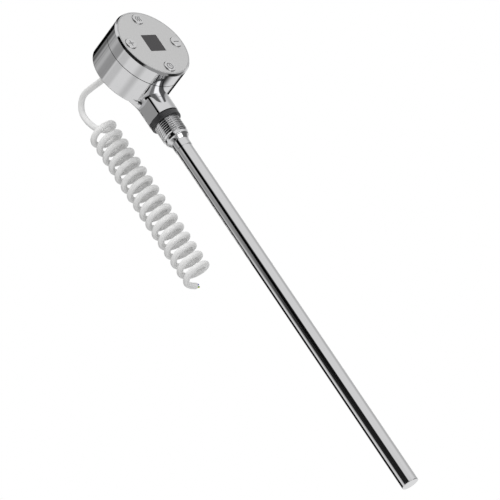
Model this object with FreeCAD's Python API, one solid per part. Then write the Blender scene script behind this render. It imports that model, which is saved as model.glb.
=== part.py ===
# Screw-in immersion heating element with a thermostat head and a curly mains lead.
# Lengths are millimetres. The rod hangs down along -Z, the head is on top, its face looks along -Y.
# The origin is the centre of the gasket's sealing face, on the rod's axis.
import FreeCAD
import Part
import math
import os

from FreeCAD import Vector

# Heating rod
ROD_RADIUS = 6.65
ROD_REACH = 342.4
SHEATH_WALL = 0.8
CAP_THICKNESS = 1.5
CAP_SPIGOT_LENGTH = 3.0
CAP_EDGE_ROUND = 0.5
FILL_GAP = 0.02
COLD_ZONE_DEPTH = 60.0
CERAMIC_RADIUS = 3.9
WINDING_THICKNESS = 0.5
PIN_RADIUS = 1.0
PIN_OFFSET = 2.0
PIN_STOP_SHORT = 8.0
PIN_PROUD = 1.0
SENSOR_RADIUS = 1.2
SENSOR_OFFSET = 3.1
SENSOR_DEPTH = 50.0
HOLE_GAP = 0.05
SAME_PLACE = 1e-4
OVERRUN = 1.0

# Threaded nipple, pipe thread G 1/2 with 14 turns per inch
THREAD_MAJOR_RADIUS = 20.955 / 2
THREAD_PITCH = 25.4 / 14
THREAD_DEPTH = 0.640327 * THREAD_PITCH
THREAD_LENGTH = 13.0
THREAD_CREST = 0.22
THREAD_FOOT = 0.94
SHANK_RADIUS = 10.4
RELIEF_WIDTH = 0.7
RELIEF_RADIUS = 9.1
END_RING_RADIUS = 9.7
END_RING_WIDTH = 2.9
END_RING_ROUND = 0.9
NOSE_LENGTH = 2.8
NOSE_RADIUS = 7.55
SPIGOT_RADIUS = 7.8
SPIGOT_GAP = 0.1
SPIGOT_TOP = 18.5
SHEATH_TOP = 10.0
SHEATH_GAP = 0.03
SLEEVE_WALL = 0.42
SLEEVE_DEPTH = 25.5
SLEEVE_INSIDE = 9.0
POTTING_LENGTH = 7.5
BUSH_RADIUS = 9.5
BUSH_TOP = 17.0
WIRE_WAY_RADIUS = 6.0
WIRE_WAY_TOP = 25.5

# Gasket and collar
GASKET_THICKNESS = 5.0
GASKET_RADIUS = 12.4
GASKET_EDGE_ROUND = 1.0
COLLAR_RADIUS = 12.8
FLATS_ACROSS = 22.0
FLATS_TOP = 20.3

# Thermostat head
HEAD_CENTRE_Z = 53.4
HEAD_RADIUS = 32.9
HEAD_DEPTH = 36.2
FACE_Y = -32.3
WALL = 2.0
SEAM_FROM_FACE = 13.3
SEAM_WIDTH = 0.4
SEAM_INSET = 0.5
FRONT_EDGE_ROUND = 1.9
BACK_EDGE_ROUND = 0.8

# Flare between the collar and the head
FLARE_START = 20.0
FLARE_INSET = 0.15
FLARE_FRONT_DEPTH = 4.0
FLARE_TOP_DEG = 226.4
FLARE_TOP_FRONT_DEPTH = 3.0
FLARE_TOP_SQUARENESS = 8
FLARE_SINK = 0.5
FLARE_SIDE_SINK = 0.2
NECK_BACK_Y = 0.5
SECTION_POINTS = 16

# Face plate, display and buttons
RIM_WIDTH = 2.1
PLATE_THICKNESS = 2.0
PLATE_GAP = 0.1
SHOULDER_STEP = 0.7
SHOULDER_WIDTH = 1.5
DISPLAY_SIZE = 16.4
WINDOW_GAP = 0.08
WINDOW_SINK = 0.15
WINDOW_LIP = 1.2
WINDOW_LIP_THICKNESS = 0.8
MODULE_SIZE = 20.0
BUTTON_INSET = 6.5
BUTTON_RADIUS = 4.9
BUTTON_GAP = 0.15
BUTTON_RAISE = 0.8
BUTTON_EDGE_ROUND = 0.4
BUTTON_FLANGE = 0.6
BUTTON_FLANGE_THICKNESS = 1.0
BUTTON_FLANGE_GAP = 0.1
STEM_RADIUS = 1.5
STEM_GAP = 0.3
STEM_IN_WELL = 0.6
SWITCH_SIZE = 6.0
SWITCH_HEIGHT = 3.5
SWITCH_WELL_DEPTH = 2.2

# Boards and what is on them
BOARD_THICKNESS = 1.6
CONTROL_BOARD_DEPTH = 8.3
CONTROL_BOARD_GAP = 0.9
LUG_INSET = 3.3
LUG_RADIUS = 4.2
SCREW_RADIUS = 1.5
SCREW_GAP = 0.1
SCREW_HEAD_RADIUS = 2.75
SCREW_HEAD_HEIGHT = 2.0
SCREW_LENGTH = 14.0
POWER_BOARD_WIDTH = 29.0
POWER_BOARD_HEIGHT = 36.0
POWER_BOARD_DROP = 22.0
STANDOFF_RADIUS = 2.5
STANDOFF_HEIGHT = 6.3
STANDOFF_EDGE = 3.0
COMPONENT_HEIGHT = 12.0
COMPONENT_WIDTH = 12.5
COMPONENT_LENGTH = 20.0
COMPONENT_INSET = 1.0
COMPONENT_BOTTOM = 4.6
COMPONENT_GAP = 1.0
CAPACITOR_RADIUS = 4.5
CAPACITOR_HEIGHT = 10.0
CAPACITOR_X = 9.8
FUSE_WIDTH = 8.0
FUSE_LENGTH = 9.0
FUSE_HEIGHT = 8.0
TERMINAL_WIDTH = 10.0
TERMINAL_LENGTH = 4.5
TERMINAL_HEIGHT = 10.0
CONNECTOR_WIDTH = 10.0
CONNECTOR_SIZE = 3.0
RIBBON_WIDTH = 8.0
RIBBON_THICKNESS = 0.4
RIBBON_FROM_EDGE = 2.1
LEAD_WIRE_RADIUS = 0.8
SENSOR_WIRE_RADIUS = 0.5
LEAD_WIRE_Z = 39.0
SENSOR_WIRE_Z = 34.0

# Cord gland in the head's back
GLAND_RISE = 17.1
GLAND_RADIUS = 4.1
GLAND_GAP = 0.1
GLAND_FLANGE_RADIUS = 6.0
GLAND_FLANGE_THICKNESS = 2.0
GLAND_NOSE_LENGTH = 15.0
GLAND_NOSE_BASE_RADIUS = 4.7
GLAND_NOSE_RADIUS = 3.4
GLAND_NUT_RADIUS = 6.4
GLAND_NUT_HEIGHT = 3.0

# Cord
CORD_RADIUS = 2.5
COIL_CENTRE_Y = 56.7
COIL_RADIUS = 10.1
COIL_PITCH = 9.45
COIL_JOIN_DEG = 14.5
COIL_JOIN_Z = 44.24
COIL_TURNS = 15.78
KNOTS_PER_TURN = 4
CORE_RADIUS = 0.85
CORE_RING_RADIUS = 1.15
CORE_LENGTH = 2.2
CORE_FIRST_DEG = 40.0
STRAND_RADIUS = 0.45
STRAND_LENGTH = 0.8

# Places that follow from the sizes above
TIP_Z = -ROD_REACH
BACK_Y = FACE_Y + HEAD_DEPTH
SEAM_Y = FACE_Y + SEAM_FROM_FACE
CAVITY_RADIUS = HEAD_RADIUS - WALL
PLATE_RADIUS = HEAD_RADIUS - RIM_WIDTH
SHOULDER_RADIUS = PLATE_RADIUS - SHOULDER_STEP
BUTTON_RING_RADIUS = PLATE_RADIUS - BUTTON_INSET
CONTROL_BOARD_RADIUS = CAVITY_RADIUS - CONTROL_BOARD_GAP
LUG_RING_RADIUS = CAVITY_RADIUS - LUG_INSET
GLAND_Z = HEAD_CENTRE_Z + GLAND_RISE
CAVITY_BACK_Y = BACK_Y - WALL
PLATE_BACK_Y = FACE_Y + PLATE_THICKNESS
CONTROL_BOARD_Y = FACE_Y + CONTROL_BOARD_DEPTH
CONTROL_BOARD_BACK_Y = CONTROL_BOARD_Y + BOARD_THICKNESS
POWER_BOARD_BACK_Y = CAVITY_BACK_Y - STANDOFF_HEIGHT
POWER_BOARD_Y = POWER_BOARD_BACK_Y - BOARD_THICKNESS
POWER_BOARD_BOTTOM_Z = HEAD_CENTRE_Z - POWER_BOARD_DROP
SWITCH_Y = CONTROL_BOARD_Y - SWITCH_HEIGHT
GLAND_INNER_Y = CAVITY_BACK_Y - GLAND_NUT_HEIGHT
GLAND_OUTER_Y = BACK_Y + GLAND_FLANGE_THICKNESS + GLAND_NOSE_LENGTH
LUG_ANGLES = (45, 135, 225, 315)
BUTTON_ANGLES = {"button_heat": 90, "button_plus": 180, "button_minus": 0, "button_timer": 270}

# Route of the lead from the gland, in an arch back and down to the coil
LEAD_POINTS = [
    Vector(0.0, GLAND_OUTER_Y, GLAND_Z),
    Vector(0.2, 27.9, GLAND_Z),
    Vector(2.2, 37.2, 74.1),
    Vector(3.4, 46.6, 77.3),
    Vector(4.6, 56.3, 79.9),
    Vector(5.3, 64.2, 76.7),
    Vector(5.3, 68.3, 70.3),
    Vector(5.3, 68.0, 62.8),
    Vector(5.3, 66.9, 58.3),
]


def disc_y(radius, y_from, y_to, x=0.0, z=HEAD_CENTRE_Z):
    """A cylinder whose axis runs along Y."""
    return Part.makeCylinder(radius, y_to - y_from, Vector(x, y_from, z), Vector(0, 1, 0))


def disc_z(radius, z_from, z_to, x=0.0, y=0.0):
    """A cylinder whose axis runs along Z."""
    return Part.makeCylinder(radius, z_to - z_from, Vector(x, y, z_from), Vector(0, 0, 1))


def block(x_from, x_to, y_from, y_to, z_from, z_to):
    """A box between two corners."""
    return Part.makeBox(x_to - x_from, y_to - y_from, z_to - z_from, Vector(x_from, y_from, z_from))


def tube_z(outer, inner, z_from, z_to):
    """A plain tube along Z."""
    return disc_z(outer, z_from, z_to).cut(disc_z(inner, z_from, z_to))


def hexagon(radius, height, base, direction):
    """A six-sided bar, its corners on a circle of the given radius."""
    corners = [Vector(radius * math.cos(k * math.pi / 3), radius * math.sin(k * math.pi / 3), 0)
               for k in range(7)]
    bar = Part.Face(Part.makePolygon(corners)).extrude(Vector(0, 0, height))
    bar.Placement = FreeCAD.Placement(base, FreeCAD.Rotation(Vector(0, 0, 1), direction))
    return bar


def on_face(ring_radius, degrees):
    """The x and z of a place on a ring round the head's centre, seen from the front."""
    angle = math.radians(degrees)
    return ring_radius * math.cos(angle), HEAD_CENTRE_Z + ring_radius * math.sin(angle)


def circle_edges(shape, radius, **place):
    """The full circles of one radius in a shape, at one height along an axis."""
    found = []
    for edge in shape.Edges:
        curve = edge.Curve
        if not isinstance(curve, Part.Circle) or abs(curve.Radius - radius) > SAME_PLACE:
            continue
        if all(abs(getattr(curve.Center, axis) - value) < SAME_PLACE for axis, value in place.items()):
            found.append(edge)
    return found


def join(shapes):
    """One solid out of touching ones."""
    return shapes[0].multiFuse(shapes[1:]).removeSplitter()


# Heating rod
def sheath_tube():
    bottom = TIP_Z + CAP_THICKNESS
    return tube_z(ROD_RADIUS, ROD_RADIUS - SHEATH_WALL, bottom, SHEATH_TOP)


def end_cap():
    top = TIP_Z + CAP_THICKNESS
    disc = disc_z(ROD_RADIUS, TIP_Z, top)
    disc = disc.makeFillet(CAP_EDGE_ROUND, circle_edges(disc, ROD_RADIUS, z=TIP_Z))
    spigot = disc_z(ROD_RADIUS - SHEATH_WALL - FILL_GAP, top, top + CAP_SPIGOT_LENGTH)
    return join([disc, spigot])


def pin_places():
    return ((-PIN_OFFSET, 0.0), (PIN_OFFSET, 0.0))


def pin_holes(z_from, z_to):
    return [disc_z(PIN_RADIUS + HOLE_GAP, z_from, z_to, x, y) for x, y in pin_places()]


def sensor_hole(z_from, z_to):
    return disc_z(SENSOR_RADIUS + HOLE_GAP, z_from, z_to, 0, -SENSOR_OFFSET)


def rod_filling():
    """Ceramic core, winding and packed powder of the heated zone, then the cold zone's plug."""
    bottom = TIP_Z + CAP_THICKNESS + CAP_SPIGOT_LENGTH
    top = -COLD_ZONE_DEPTH
    outer = ROD_RADIUS - SHEATH_WALL - FILL_GAP
    winding = CERAMIC_RADIUS + WINDING_THICKNESS
    core = disc_z(CERAMIC_RADIUS - FILL_GAP, bottom, top)
    for hole in pin_holes(bottom + PIN_STOP_SHORT, top):
        core = core.cut(hole)
    plug = disc_z(outer, top, SHEATH_TOP)
    for hole in pin_holes(top, SHEATH_TOP) + [sensor_hole(-SENSOR_DEPTH, SHEATH_TOP)]:
        plug = plug.cut(hole)
    return {
        "ceramic_core": core,
        "heating_winding": tube_z(winding, CERAMIC_RADIUS, bottom, top),
        "insulation_powder": tube_z(outer, winding + FILL_GAP, bottom, top),
        "cold_zone_plug": plug,
    }


def power_pins():
    bottom = TIP_Z + CAP_THICKNESS + CAP_SPIGOT_LENGTH + PIN_STOP_SHORT
    top = SHEATH_TOP + POTTING_LENGTH + PIN_PROUD
    return Part.makeCompound([disc_z(PIN_RADIUS, bottom, top, x, y) for x, y in pin_places()])


def sensor_capsule():
    top = SHEATH_TOP + POTTING_LENGTH + PIN_PROUD
    return disc_z(SENSOR_RADIUS, -SENSOR_DEPTH, top, 0, -SENSOR_OFFSET)


def potting_plug():
    top = SHEATH_TOP + POTTING_LENGTH
    plug = disc_z(ROD_RADIUS, SHEATH_TOP, top)
    for hole in pin_holes(SHEATH_TOP, top) + [sensor_hole(SHEATH_TOP, top)]:
        plug = plug.cut(hole)
    return plug


# Threaded nipple
def thread_ridge():
    """The helical ridge, made one turn longer at both ends and then trimmed to the thread's length."""
    root = THREAD_MAJOR_RADIUS - THREAD_DEPTH
    start = -THREAD_LENGTH - THREAD_PITCH
    helix = Part.makeHelix(THREAD_PITCH, THREAD_LENGTH + 2 * THREAD_PITCH, root)
    helix.translate(Vector(0, 0, start))
    foot = THREAD_PITCH * THREAD_FOOT / 2
    crest = THREAD_CREST / 2
    sunk = root - THREAD_DEPTH / 4
    outline = [
        Vector(sunk, 0, start - foot),
        Vector(root, 0, start - foot),
        Vector(THREAD_MAJOR_RADIUS, 0, start - crest),
        Vector(THREAD_MAJOR_RADIUS, 0, start + crest),
        Vector(root, 0, start + foot),
        Vector(sunk, 0, start + foot),
        Vector(sunk, 0, start - foot),
    ]
    ridge = Part.Wire(helix.Edges).makePipeShell([Part.makePolygon(outline)], True, True)
    return ridge.common(disc_z(THREAD_MAJOR_RADIUS + OVERRUN, -THREAD_LENGTH, 0))


def sleeve_bottom_of_nipple():
    return -THREAD_LENGTH - RELIEF_WIDTH - END_RING_WIDTH - NOSE_LENGTH


def threaded_nipple():
    root = THREAD_MAJOR_RADIUS - THREAD_DEPTH
    relief_top = -THREAD_LENGTH
    ring_top = relief_top - RELIEF_WIDTH
    ring_bottom = ring_top - END_RING_WIDTH
    nose_bottom = sleeve_bottom_of_nipple()
    ring = disc_z(END_RING_RADIUS, ring_bottom, ring_top)
    ring = ring.makeFillet(END_RING_ROUND, circle_edges(ring, END_RING_RADIUS, z=ring_bottom))
    nose_top_radius = END_RING_RADIUS - END_RING_ROUND
    nose = Part.makeCone(NOSE_RADIUS, nose_top_radius, NOSE_LENGTH, Vector(0, 0, nose_bottom))
    body = join([
        disc_z(SPIGOT_RADIUS, GASKET_THICKNESS, SPIGOT_TOP),
        disc_z(SHANK_RADIUS, 0, GASKET_THICKNESS),
        disc_z(root, -THREAD_LENGTH, 0),
        disc_z(RELIEF_RADIUS, ring_top, relief_top),
        ring,
        nose,
    ])
    sheath_bore = disc_z(ROD_RADIUS + SHEATH_GAP, nose_bottom, SPIGOT_TOP)
    sleeve_bore_radius = ROD_RADIUS + SHEATH_GAP + SLEEVE_WALL + SHEATH_GAP
    sleeve_bore = disc_z(sleeve_bore_radius, nose_bottom, nose_bottom + SLEEVE_INSIDE)
    return body.fuse(thread_ridge()).cut(sheath_bore).cut(sleeve_bore)


def element_sleeve():
    inner = ROD_RADIUS + SHEATH_GAP / 2
    top = sleeve_bottom_of_nipple() + SLEEVE_INSIDE
    return tube_z(ROD_RADIUS + SHEATH_GAP + SLEEVE_WALL, inner, -SLEEVE_DEPTH, top)


def threaded_bush():
    """Pressed into the collar from below. The nipple's spigot screws into it."""
    return tube_z(BUSH_RADIUS, SPIGOT_RADIUS + HOLE_GAP, GASKET_THICKNESS, BUSH_TOP)


def sealing_gasket():
    ring = tube_z(GASKET_RADIUS, THREAD_MAJOR_RADIUS + HOLE_GAP, 0, GASKET_THICKNESS)
    edges = circle_edges(ring, GASKET_RADIUS, z=0) + circle_edges(ring, GASKET_RADIUS, z=GASKET_THICKNESS)
    return ring.makeFillet(GASKET_EDGE_ROUND, edges)


# Head shells
def flare_section(half_width, back, front_depth, squareness, z):
    """A smooth ring in a level plane: round where the squareness is 2, and nearly square-cornered at 8."""
    places = []
    for k in range(SECTION_POINTS):
        angle = 2 * math.pi * k / SECTION_POINTS
        across = math.copysign(abs(math.cos(angle)) ** (2 / squareness), math.cos(angle))
        deep = math.copysign(abs(math.sin(angle)) ** (2 / squareness), math.sin(angle))
        depth = back if deep > 0 else front_depth
        places.append(Vector(half_width * across, depth * deep, z))
    ring = Part.BSplineCurve()
    ring.interpolate(Points=places, PeriodicFlag=True)
    return Part.Wire([ring.toShape()])


def flare():
    """The web behind the neck. Its flanks run straight from the collar's sides and meet the head at a tangent."""
    top_angle = math.radians(FLARE_TOP_DEG)
    top_half_width = -HEAD_RADIUS * math.cos(top_angle) - FLARE_SIDE_SINK
    top_z = HEAD_CENTRE_Z + HEAD_RADIUS * math.sin(top_angle)
    bottom_radius = COLLAR_RADIUS - FLARE_INSET
    bottom = flare_section(bottom_radius, bottom_radius, FLARE_FRONT_DEPTH, 2, FLARE_START)
    top = flare_section(top_half_width, BACK_Y - FLARE_SINK, FLARE_TOP_FRONT_DEPTH, FLARE_TOP_SQUARENESS, top_z)
    return Part.makeLoft([bottom, top], True, True)


def neck():
    """The collar, whose front half runs on up into the head's underside."""
    collar = disc_z(COLLAR_RADIUS, GASKET_THICKNESS, FLARE_START)
    top = HEAD_CENTRE_Z - math.sqrt(HEAD_RADIUS ** 2 - COLLAR_RADIUS ** 2) + WALL / 2
    front_half = block(-COLLAR_RADIUS, COLLAR_RADIUS, -COLLAR_RADIUS, NECK_BACK_Y, FLARE_START, top)
    return join([collar, disc_z(COLLAR_RADIUS, FLARE_START, top).common(front_half)])


def screw_places():
    return [on_face(LUG_RING_RADIUS, angle) for angle in LUG_ANGLES]


def standoff_places():
    across = POWER_BOARD_WIDTH / 2 - STANDOFF_EDGE
    low = POWER_BOARD_BOTTOM_Z + STANDOFF_EDGE
    high = POWER_BOARD_BOTTOM_Z + POWER_BOARD_HEIGHT - STANDOFF_EDGE
    return [(x, z) for x in (-across, across) for z in (low, high)]


def rear_housing():
    front = SEAM_Y + SEAM_WIDTH / 2
    drum = disc_y(HEAD_RADIUS, front, BACK_Y)
    drum = drum.makeFillet(BACK_EDGE_ROUND, circle_edges(drum, HEAD_RADIUS, y=BACK_Y))
    body = join([drum, flare(), neck()])
    half = FLATS_ACROSS / 2
    far = HEAD_RADIUS
    flats_bottom = GASKET_THICKNESS - OVERRUN
    body = body.cut(block(half, far, -far, far, flats_bottom, FLATS_TOP))
    body = body.cut(block(-far, -half, -far, far, flats_bottom, FLATS_TOP))
    body = body.cut(disc_y(CAVITY_RADIUS, front - OVERRUN, CAVITY_BACK_Y))
    posts = [disc_y(LUG_RADIUS, SEAM_Y, CAVITY_BACK_Y + WALL / 2, x, z) for x, z in screw_places()]
    posts += [disc_y(STANDOFF_RADIUS, POWER_BOARD_BACK_Y, CAVITY_BACK_Y + WALL / 2, x, z)
              for x, z in standoff_places()]
    body = body.multiFuse(posts)
    screw_end = CONTROL_BOARD_Y + SCREW_LENGTH
    for x, z in screw_places():
        body = body.cut(disc_y(SCREW_RADIUS + HOLE_GAP, SEAM_Y - OVERRUN, screw_end + OVERRUN, x, z))
    body = body.cut(disc_z(BUSH_RADIUS + HOLE_GAP, GASKET_THICKNESS - OVERRUN, SPIGOT_TOP + SPIGOT_GAP))
    body = body.cut(disc_z(WIRE_WAY_RADIUS, SPIGOT_TOP, WIRE_WAY_TOP))
    gland_hole = disc_y(GLAND_RADIUS + GLAND_GAP, CAVITY_BACK_Y - OVERRUN, BACK_Y + OVERRUN, 0, GLAND_Z)
    return body.cut(gland_hole)


def front_ring():
    back = SEAM_Y - SEAM_WIDTH / 2
    ring = disc_y(HEAD_RADIUS, FACE_Y, back)
    ring = ring.cut(disc_y(PLATE_RADIUS + PLATE_GAP, FACE_Y - OVERRUN, PLATE_BACK_Y))
    ring = ring.cut(disc_y(SHOULDER_RADIUS, FACE_Y - OVERRUN, back + OVERRUN))
    ring = ring.cut(disc_y(CAVITY_RADIUS, PLATE_BACK_Y + SHOULDER_WIDTH, back + OVERRUN))
    ring = ring.makeFillet(FRONT_EDGE_ROUND, circle_edges(ring, HEAD_RADIUS, y=FACE_Y))
    lugs = [disc_y(LUG_RADIUS, CONTROL_BOARD_BACK_Y, SEAM_Y, x, z) for x, z in screw_places()]
    ring = ring.multiFuse(lugs)
    hole_from = CONTROL_BOARD_BACK_Y - OVERRUN
    for x, z in screw_places():
        ring = ring.cut(disc_y(SCREW_RADIUS + SCREW_GAP, hole_from, SEAM_Y + OVERRUN, x, z))
    return ring


def seam_gasket():
    front = SEAM_Y - SEAM_WIDTH / 2
    back = SEAM_Y + SEAM_WIDTH / 2
    ring = disc_y(HEAD_RADIUS - SEAM_INSET, front, back).cut(disc_y(CAVITY_RADIUS, front, back))
    for x, z in screw_places():
        ring = ring.cut(disc_y(LUG_RADIUS + HOLE_GAP, front, back, x, z))
    return ring


# Face plate, display and buttons
def square_y(size, y_from, y_to):
    half = size / 2
    return block(-half, half, y_from, y_to, HEAD_CENTRE_Z - half, HEAD_CENTRE_Z + half)


def face_plate():
    plate = disc_y(PLATE_RADIUS, FACE_Y, PLATE_BACK_Y)
    plate = plate.cut(square_y(DISPLAY_SIZE, FACE_Y - OVERRUN, PLATE_BACK_Y))
    lip_size = DISPLAY_SIZE + 2 * WINDOW_LIP
    plate = plate.cut(square_y(lip_size, PLATE_BACK_Y - WINDOW_LIP_THICKNESS, PLATE_BACK_Y))
    hole_radius = BUTTON_RADIUS + BUTTON_GAP
    for angle in BUTTON_ANGLES.values():
        x, z = on_face(BUTTON_RING_RADIUS, angle)
        plate = plate.cut(disc_y(hole_radius, FACE_Y - OVERRUN, PLATE_BACK_Y + OVERRUN, x, z))
    return plate


def display_window():
    lip_y = PLATE_BACK_Y - WINDOW_LIP_THICKNESS
    glass = square_y(DISPLAY_SIZE - 2 * WINDOW_GAP, FACE_Y + WINDOW_SINK, lip_y)
    lip = square_y(DISPLAY_SIZE + 2 * WINDOW_LIP - 2 * WINDOW_GAP, lip_y, PLATE_BACK_Y)
    return join([glass, lip])


def display_module():
    return square_y(MODULE_SIZE, PLATE_BACK_Y, CONTROL_BOARD_Y)


def button(angle):
    x, z = on_face(BUTTON_RING_RADIUS, angle)
    top = FACE_Y - BUTTON_RAISE
    flange_y = PLATE_BACK_Y + BUTTON_FLANGE_GAP
    flange_back = flange_y + BUTTON_FLANGE_THICKNESS
    cap = disc_y(BUTTON_RADIUS, top, flange_y, x, z)
    cap = cap.makeFillet(BUTTON_EDGE_ROUND, circle_edges(cap, BUTTON_RADIUS, y=top))
    flange = disc_y(BUTTON_RADIUS + BUTTON_FLANGE, flange_y, flange_back, x, z)
    stem = disc_y(STEM_RADIUS, flange_back, SWITCH_Y + STEM_IN_WELL, x, z)
    return join([cap, flange, stem])


def tact_switches():
    switches = []
    half = SWITCH_SIZE / 2
    for angle in BUTTON_ANGLES.values():
        x, z = on_face(BUTTON_RING_RADIUS, angle)
        case = block(x - half, x + half, SWITCH_Y, CONTROL_BOARD_Y, z - half, z + half)
        well = disc_y(STEM_RADIUS + STEM_GAP, SWITCH_Y, SWITCH_Y + SWITCH_WELL_DEPTH, x, z)
        switches.append(case.cut(well))
    return Part.makeCompound(switches)


# Boards and what is on them
def control_board():
    board = disc_y(CONTROL_BOARD_RADIUS, CONTROL_BOARD_Y, CONTROL_BOARD_BACK_Y)
    for x, z in screw_places():
        board = board.cut(disc_y(SCREW_RADIUS + SCREW_GAP, CONTROL_BOARD_Y, CONTROL_BOARD_BACK_Y, x, z))
    return board


def head_screws():
    screws = []
    for x, z in screw_places():
        head = disc_y(SCREW_HEAD_RADIUS, CONTROL_BOARD_Y - SCREW_HEAD_HEIGHT, CONTROL_BOARD_Y, x, z)
        shank = disc_y(SCREW_RADIUS, CONTROL_BOARD_Y, CONTROL_BOARD_Y + SCREW_LENGTH, x, z)
        screws.append(join([head, shank]))
    return Part.makeCompound(screws)


def power_board():
    half = POWER_BOARD_WIDTH / 2
    bottom = POWER_BOARD_BOTTOM_Z
    return block(-half, half, POWER_BOARD_Y, POWER_BOARD_BACK_Y, bottom, bottom + POWER_BOARD_HEIGHT)


def tall_component(side):
    """The relay stands on the left half of the board, the supply module on the right half."""
    bottom = POWER_BOARD_BOTTOM_Z + COMPONENT_BOTTOM
    near = side * COMPONENT_INSET
    far = side * (COMPONENT_INSET + COMPONENT_WIDTH)
    return block(min(near, far), max(near, far), POWER_BOARD_Y - COMPONENT_HEIGHT, POWER_BOARD_Y,
                 bottom, bottom + COMPONENT_LENGTH)


def upper_row_z():
    """Height of the row of parts above the relay and the supply module."""
    return POWER_BOARD_BOTTOM_Z + COMPONENT_BOTTOM + COMPONENT_LENGTH + COMPONENT_GAP


def capacitor():
    z = upper_row_z() + COMPONENT_GAP + CAPACITOR_RADIUS
    return disc_y(CAPACITOR_RADIUS, POWER_BOARD_Y - CAPACITOR_HEIGHT, POWER_BOARD_Y, -CAPACITOR_X, z)


def fuse_holder():
    half = FUSE_WIDTH / 2
    z = upper_row_z() + COMPONENT_GAP
    return block(CAPACITOR_X - half, CAPACITOR_X + half, POWER_BOARD_Y - FUSE_HEIGHT, POWER_BOARD_Y,
                 z, z + FUSE_LENGTH)


def terminal_block():
    half = TERMINAL_WIDTH / 2
    z = upper_row_z()
    return block(-half, half, POWER_BOARD_Y - TERMINAL_HEIGHT, POWER_BOARD_Y, z, z + TERMINAL_LENGTH)


def ribbon_z():
    return POWER_BOARD_BOTTOM_Z + RIBBON_FROM_EDGE


def board_connectors():
    half = CONNECTOR_WIDTH / 2
    low = ribbon_z() - CONNECTOR_SIZE / 2
    high = ribbon_z() + CONNECTOR_SIZE / 2
    front = block(-half, half, CONTROL_BOARD_BACK_Y, CONTROL_BOARD_BACK_Y + CONNECTOR_SIZE, low, high)
    rear = block(-half, half, POWER_BOARD_Y - CONNECTOR_SIZE, POWER_BOARD_Y, low, high)
    return Part.makeCompound([front, rear])


def ribbon_cable():
    half = RIBBON_WIDTH / 2
    thick = RIBBON_THICKNESS / 2
    return block(-half, half, CONTROL_BOARD_BACK_Y + CONNECTOR_SIZE, POWER_BOARD_Y - CONNECTOR_SIZE,
                 ribbon_z() - thick, ribbon_z() + thick)


# Tubes along a route
def rounded_route(points):
    """Straight runs joined by tangent arcs, each arc as large as its two runs allow."""
    edges = []
    radii = []
    start = points[0]
    for before, corner, after in zip(points, points[1:], points[2:]):
        back = (before - corner).normalize()
        ahead = (after - corner).normalize()
        half_turn = (math.pi - back.getAngle(ahead)) / 2
        trim = 0.45 * min(before.distanceToPoint(corner), after.distanceToPoint(corner))
        radius = trim / math.tan(half_turn)
        inward = (back + ahead).normalize()
        middle = corner + inward * (radius / math.cos(half_turn) - radius)
        arc_start = corner + back * trim
        arc_end = corner + ahead * trim
        edges.append(Part.LineSegment(start, arc_start).toShape())
        edges.append(Part.Arc(arc_start, middle, arc_end).toShape())
        radii.append(radius)
        start = arc_end
    edges.append(Part.LineSegment(start, points[-1]).toShape())
    return Part.Wire(edges), radii


def tube_along(route, radius, start, direction):
    profile = Part.Wire([Part.makeCircle(radius, start, direction)])
    return route.makePipeShell([profile], True, False)


def round_tube(points, radius):
    route, radii = rounded_route(points)
    return tube_along(route, radius, points[0], points[1] - points[0]), route, radii


# Wires inside the head
def element_leads():
    """Two heater wires and the sensor's wire, from the nipple's top to the power board's back."""
    bottom = SHEATH_TOP + POTTING_LENGTH + PIN_PROUD
    tubes = []
    for x, y in pin_places():
        points = [
            Vector(x, y, bottom),
            Vector(x, y, LEAD_WIRE_Z),
            Vector(x, POWER_BOARD_BACK_Y, LEAD_WIRE_Z),
        ]
        tubes.append(round_tube(points, LEAD_WIRE_RADIUS)[0])
    points = [
        Vector(0, -SENSOR_OFFSET, bottom),
        Vector(0, -SENSOR_OFFSET, SENSOR_WIRE_Z),
        Vector(0, POWER_BOARD_BACK_Y, SENSOR_WIRE_Z),
    ]
    tubes.append(round_tube(points, SENSOR_WIRE_RADIUS)[0])
    return Part.makeCompound(tubes)


def inner_cord():
    """The cord inside the gland and the head, over the power board's top edge to the terminal block."""
    turn_y = POWER_BOARD_Y - TERMINAL_HEIGHT / 2
    terminal_top = upper_row_z() + TERMINAL_LENGTH
    points = [
        Vector(0, GLAND_OUTER_Y, GLAND_Z),
        Vector(0, turn_y, GLAND_Z),
        Vector(0, turn_y, terminal_top),
    ]
    return round_tube(points, CORD_RADIUS)[0]


# Cord gland
def cord_gland():
    flange_back = BACK_Y + GLAND_FLANGE_THICKNESS
    stem = disc_y(GLAND_RADIUS, GLAND_INNER_Y, BACK_Y, 0, GLAND_Z)
    flange = disc_y(GLAND_FLANGE_RADIUS, BACK_Y, flange_back, 0, GLAND_Z)
    nose = Part.makeCone(GLAND_NOSE_BASE_RADIUS, GLAND_NOSE_RADIUS, GLAND_NOSE_LENGTH,
                         Vector(0, flange_back, GLAND_Z), Vector(0, 1, 0))
    bore = disc_y(CORD_RADIUS + HOLE_GAP, GLAND_INNER_Y, GLAND_OUTER_Y, 0, GLAND_Z)
    return join([stem, flange, nose]).cut(bore)


def gland_nut():
    nut = hexagon(GLAND_NUT_RADIUS, GLAND_NUT_HEIGHT, Vector(0, GLAND_INNER_Y, GLAND_Z), Vector(0, 1, 0))
    return nut.cut(disc_y(GLAND_RADIUS + HOLE_GAP, GLAND_INNER_Y, CAVITY_BACK_Y, 0, GLAND_Z))


# Curly cord
def coil_angle(turns):
    return math.radians(COIL_JOIN_DEG) - 2 * math.pi * turns


def coil_point(turns):
    """A place on the right-handed helix, counted in turns down from where the lead joins it."""
    angle = coil_angle(turns)
    return Vector(COIL_RADIUS * math.cos(angle), COIL_CENTRE_Y + COIL_RADIUS * math.sin(angle),
                  COIL_JOIN_Z - COIL_PITCH * turns)


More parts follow.
